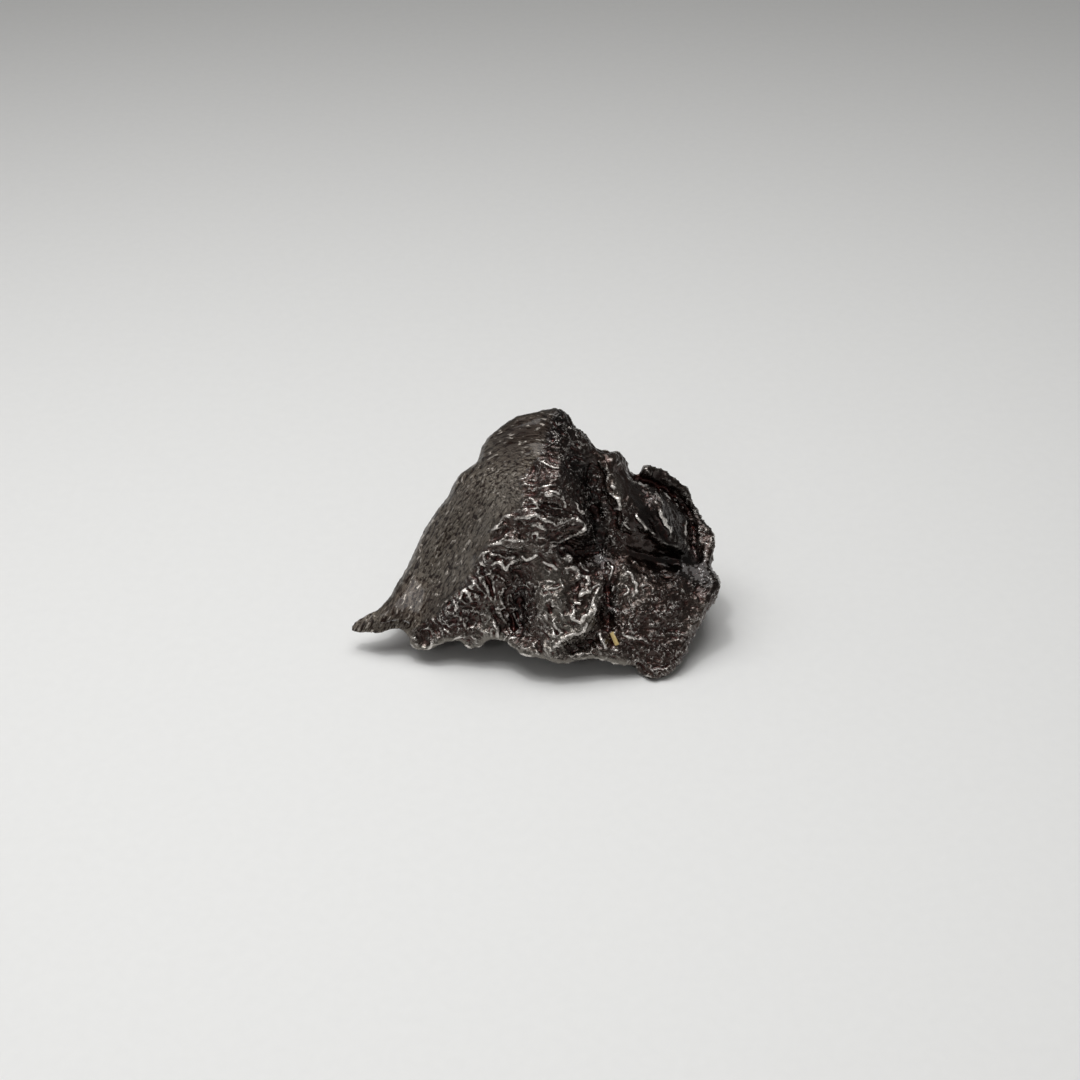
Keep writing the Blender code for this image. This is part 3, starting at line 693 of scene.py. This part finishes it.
def ramped(make, value, low, high, to_low=0.0, to_high=1.0):
    """The value's way from low to high, as a number between to_low and to_high."""
    limits = {"From Min": low, "From Max": high, "To Min": to_low, "To Max": to_high}
    return make("ShaderNodeMapRange", {"Value": value, **limits}).outputs["Result"]


def calculated(make, operation, *values):
    node = make("ShaderNodeMath", dict(enumerate(values)), operation=operation)
    return node.outputs["Value"]


def product(make, first, second):
    return calculated(make, "MULTIPLY", first, second)


def total(make, first, second):
    return calculated(make, "ADD", first, second)


def noise_node(make, place, scale, detail=3.0):
    settings = {"Vector": place, "Scale": scale, "Detail": detail, "Roughness": 0.6}
    return make("ShaderNodeTexNoise", settings).outputs["Fac"]


def attribute(make, name):
    return make("ShaderNodeAttribute", attribute_name=name).outputs["Fac"]


def flow_place(make, times):
    """Coordinates, in metres, in which noise is that many times longer along the flow lines."""
    along = product(make, attribute(make, "along_flow"), MM / times)
    across = product(make, attribute(make, "across_flow"), MM)
    return make("ShaderNodeCombineXYZ", {"X": along, "Y": across}).outputs["Vector"]


def flank_marks(make):
    """Flow lines of the smooth face, and the short beads and nicks along them; the colour paints
    the beads as glints and the nicks as shade.
    """
    streaks = noise_node(make, flow_place(make, STREAK_STRETCH), STREAKS)
    beads = noise_node(make, flow_place(make, BEAD_STRETCH), BEADS, 1.5)
    return streaks, ramped(make, beads, 0.60, 0.66), ramped(make, beads, 0.44, 0.37)


def hair_lines(make, place):
    """Broken lines, thin as a hair, on the torn face; the colour paints them pale as highlights.
    """
    off = calculated(make, "SUBTRACT", noise_node(make, place, HAIRS, 2.0), 0.5)
    line = ramped(make, calculated(make, "ABSOLUTE", off), 0.035, 0.008)
    kept = ramped(make, noise_node(make, place, HAIR_PATCHES, 1.0), 0.45, 0.60)
    return product(make, line, kept)


def wrinkles(make, place):
    """The finest crinkles of the torn face."""
    settings = {"Vector": place, "Scale": WRINKLES, "Detail": 3.0, "Roughness": 0.6}
    settings.update({"Offset": 1.0, "Gain": 2.0, "Distortion": 0.6})
    kind = {"noise_type": "RIDGED_MULTIFRACTAL", "normalize": False}
    return make("ShaderNodeTexNoise", settings, **kind).outputs["Fac"]


def flank_colour(make, place, marks):
    """Satin grey-brown, darker between the flow lines, with beads painted as bright glints and
    nicks painted as shade.
    """
    streaks, beads, nicks = marks
    colour = mixed(make, noise_node(make, place, MOTTLE), SMOOTH_DARK, SMOOTH_LIGHT)
    colour = mixed(make, ramped(make, streaks, 0.55, 0.39, 0.0, 0.9), colour, SMOOTH_BROWN)
    # Paler with dust and painted highlight, darker with painted shade.
    dust_and_painted_light = attribute(make, "dust_and_painted_light")
    colour = mixed(make, ramped(make, dust_and_painted_light, 0.0, 0.8, 0.0, 0.6), colour, DUST_AND_HIGHLIGHT)
    colour = mixed(make, ramped(make, dust_and_painted_light, 0.0, -1.0), colour, SMOOTH_SHADE)
    # The nicks: painted shade.
    colour = mixed(make, nicks, colour, SMOOTH_BROWN)
    # The beads: painted glints.
    kept = ramped(make, noise_node(make, place, BEAD_PATCHES, 1.0), 0.42, 0.58, 0.15, 0.9)
    return mixed(make, product(make, beads, kept), colour, SMOOTH_BEAD_GLINT)


def unshaded(make):
    """1, but 0 where the strongest painted shade lies."""
    return ramped(make, attribute(make, "dust_and_painted_light"), -0.9, -0.3)


def bright_crests(make, place, height):
    """Where crests are pale with wear and painted highlight: here and there on the folds, and all
    along the strokes.
    """
    kept = ramped(make, noise_node(make, place, CREST_PATCHES, 1.0), 0.40, 0.60, 0.1, 1.0)
    kept = product(make, kept, unshaded(make))
    on_folds = product(make, ramped(make, height, 0.05, 0.14), kept)
    on_strokes = ramped(make, attribute(make, "wear_and_highlight"), 0.11, 0.18)
    patchy = ramped(make, noise_node(make, place, WEAR_AND_HIGHLIGHT_PATCHES), 0.34, 0.48, 0.15, 1.0)
    return calculated(make, "MAXIMUM", on_folds, product(make, on_strokes, patchy))


def torn_colour(make, place, lines, height, bright):
    """Red-brown in the recesses, dusty grey with painted highlight or dark brown with painted
    shade on the floors, and pale crests and hair lines, partly wear and partly painted highlight.
    """
    dust_and_painted_light = attribute(make, "dust_and_painted_light")
    colour = mixed(make, noise_node(make, place, MOTTLE), TORN_DARK, TORN_LIGHT)
    # Paler with dust and painted highlight, darkest with painted shade.
    colour = mixed(make, ramped(make, dust_and_painted_light, 0.0, 0.9), colour, DUST_AND_HIGHLIGHT)
    colour = mixed(make, ramped(make, dust_and_painted_light, 0.0, -0.8), colour, TORN_PAINTED_SHADE)
    colour = mixed(make, ramped(make, height, -0.02, -0.11), colour, RECESS)
    # Paler on the raised parts, away from the painted shade.
    raised = product(make, ramped(make, height, 0.02, 0.08, 0.0, 0.4), unshaded(make))
    colour = mixed(make, raised, colour, DUST_AND_HIGHLIGHT)
    # Painted highlights: the hair lines and the bright crests, near-white.
    shown = product(make, lines, ramped(make, height, -0.04, 0.03))
    colour = mixed(make, product(make, shown, 0.8), colour, WORN_CREST_AND_HIGHLIGHT)
    return mixed(make, bright, colour, WORN_CREST_AND_HIGHLIGHT)


def iron_bump(make, torn, marks, lines, crinkles):
    """The marks that are only shaded, as a normal."""
    streaks, beads, nicks = marks
    on_flank = total(make, streaks, product(make, beads, 0.8))
    on_flank = total(make, on_flank, product(make, nicks, -0.6))
    on_torn = total(make, crinkles, product(make, lines, 4.0))
    relief = make("ShaderNodeMix", {"Factor": torn, "A": on_flank, "B": on_torn})
    depth = ramped(make, torn, 0.0, 1.0, SMOOTH_BUMP, TORN_BUMP)
    bump = make("ShaderNodeBump", {"Height": relief.outputs["Result"], "Distance": depth})
    return bump.outputs["Normal"]


def iron_material():
    material = bpy.data.materials.new("iron")
    material.use_nodes = True
    make = node_maker(material)
    shader = material.node_tree.nodes["Principled BSDF"]
    link = material.node_tree.links.new
    place = make("ShaderNodeTexCoord").outputs["Object"]
    torn = attribute(make, "torn")
    calm = attribute(make, "calm")
    height = attribute(make, "height")
    marks = flank_marks(make)
    lines = product(make, hair_lines(make, place), ramped(make, calm, 0.0, FAR_CALM, 1.0, 0.0))
    crinkles = product(make, wrinkles(make, place), ramped(make, calm, 0.0, 1.0, 1.0, 0.15))
    bright = product(make, torn, bright_crests(make, place, height))
    rough_colour = torn_colour(make, place, lines, height, bright)
    colour = mixed(make, torn, flank_colour(make, place, marks), rough_colour)
    link(colour, shader.inputs["Base Color"])
    # The painted highlights are less metallic, so they stay pale whatever they reflect.
    link(ramped(make, bright, 0.0, 1.0, 0.93, 0.6), shader.inputs["Metallic"])
    roughness = ramped(make, noise_node(make, place, SHINE), 0.3, 0.7, 0.18, 0.36)
    rougher = ramped(make, torn, 0.0, 1.0, 0.18, 0.0)
    link(total(make, roughness, rougher), shader.inputs["Roughness"])
    shader.inputs["Coat Weight"].default_value = 0.45
    shader.inputs["Coat Roughness"].default_value = 0.10
    link(iron_bump(make, torn, marks, lines, crinkles), shader.inputs["Normal"])
    return material


def grain_material():
    material = bpy.data.materials.new("yellow_grain")
    material.use_nodes = True
    make = node_maker(material)
    shader = material.node_tree.nodes["Principled BSDF"]
    place = make("ShaderNodeTexCoord").outputs["Object"]
    noisy = make("ShaderNodeTexNoise", {"Vector": place, "Scale": 5000.0})
    colour = mixed(make, noisy.outputs["Fac"], GRAIN_DARK, GRAIN_LIGHT)
    material.node_tree.links.new(colour, shader.inputs["Base Color"])
    shader.inputs["Roughness"].default_value = 0.35
    return material


def floor_material():
    material = bpy.data.materials.new("floor")
    material.use_nodes = True
    make = node_maker(material)
    shader = material.node_tree.nodes["Principled BSDF"]
    place = make("ShaderNodeTexCoord").outputs["Object"]
    noisy = make("ShaderNodeTexNoise", {"Vector": place, "Scale": 900.0, "Detail": 2.0})
    colour = mixed(make, noisy.outputs["Fac"], FLOOR_DARK, FLOOR_LIGHT)
    material.node_tree.links.new(colour, shader.inputs["Base Color"])
    shader.inputs["Roughness"].default_value = 0.75
    return material


# Pieces.


def make_fragment(node):
    mesh = fine_mesh(node)
    work_surface(mesh)
    mesh.materials.clear()
    mesh.materials.append(iron_material())
    mesh.shade_smooth()
    fragment = new_object("iron_fragment", mesh)
    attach(fragment, "root")
    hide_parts(NODE)
    return fragment


def surface_under(tree, right, up):
    """The point and normal of the surface that shows at a place in the view."""
    right_axis, up_axis, _ = sight_axes()
    target = SIGHT_CENTRE + right_axis * (right * MM) + up_axis * (up * MM)
    direction = (target - eye_position()).normalized()
    point, normal, _, _ = tree.ray_cast(eye_position(), direction)
    return point, normal


def make_grain(fragment):
    """A small flat grain lying in its cup."""
    tree = BVHTree.FromObject(fragment, bpy.context.evaluated_depsgraph_get())
    ends = [surface_under(tree, *end) for end in GRAIN_ENDS]
    start, end = (point + normal * (GRAIN_PROUD * MM) for point, normal in ends)
    along = (end - start).normalized()
    normal = (ends[0][1] + ends[1][1]).normalized()
    across = along.cross(normal).normalized()
    normal = across.cross(along).normalized()
    half = GRAIN_WIDTH * MM / 2
    corners = []
    for lift in (-1.5, 1.0):
        for place, side in ((start, -1), (start, 1), (end, 1), (end, -1)):
            corners.append(place + across * (side * half) + normal * (lift * half * 0.5))
    faces = [(3, 2, 1, 0), (4, 5, 6, 7), (0, 1, 5, 4), (1, 2, 6, 5), (2, 3, 7, 6), (3, 0, 4, 7)]
    mesh = bpy.data.meshes.new("yellow_grain")
    mesh.from_pydata(corners, [], faces)
    mesh.materials.append(grain_material())
    thing = new_object("yellow_grain", mesh)
    round_off = thing.modifiers.new("round off", "BEVEL")
    round_off.width = GRAIN_ROUNDING * MM
    round_off.segments = 3
    mesh.shade_smooth()
    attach(thing, "root")
    return thing


# The stage.


def make_floor():
    mesh = bpy.data.meshes.new("floor")
    half = FLOOR_HALF
    mesh.from_pydata(
        [(-half, -half, 0.0), (half, -half, 0.0), (half, half, 0.0), (-half, half, 0.0)],
        [],
        [(0, 1, 2, 3)],
    )
    mesh.materials.append(floor_material())
    new_object("floor", mesh)


def point_at(thing, place, target):
    thing.location = place
    thing.rotation_mode = "QUATERNION"
    thing.rotation_quaternion = (target - place).to_track_quat("-Z", "Y")


def soft_light(name, place, target, size, power):
    light = bpy.data.lights.new(name, "AREA")
    light.shape = "RECTANGLE"
    light.size, light.size_y = size
    light.energy = power
    thing = new_object(name, light)
    thing.visible_camera = False
    point_at(thing, Vector(place), Vector(target))


def make_lights():
    for light in LIGHTS:
        soft_light(*light)
    world = bpy.data.worlds.new("studio")
    world.use_nodes = True
    background = world.node_tree.nodes["Background"]
    background.inputs["Color"].default_value = WORLD_COLOUR
    background.inputs["Strength"].default_value = WORLD_STRENGTH
    bpy.context.scene.world = world


def make_camera():
    camera = bpy.data.cameras.new("camera")
    camera.sensor_width = SENSOR_WIDTH
    camera.lens = SENSOR_WIDTH * EYE_DISTANCE / VIEW_WIDTH
    camera.clip_start = 0.005
    camera.clip_end = 5.0
    thing = new_object("camera", camera)
    point_at(thing, eye_position(), SIGHT_CENTRE)
    bpy.context.scene.camera = thing


def main():
    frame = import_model()
    fragment = make_fragment(frame["nodes"][NODE])
    make_grain(fragment)
    make_floor()
    make_lights()
    make_camera()
    bpy.context.scene.view_settings.view_transform = "Standard"


main()
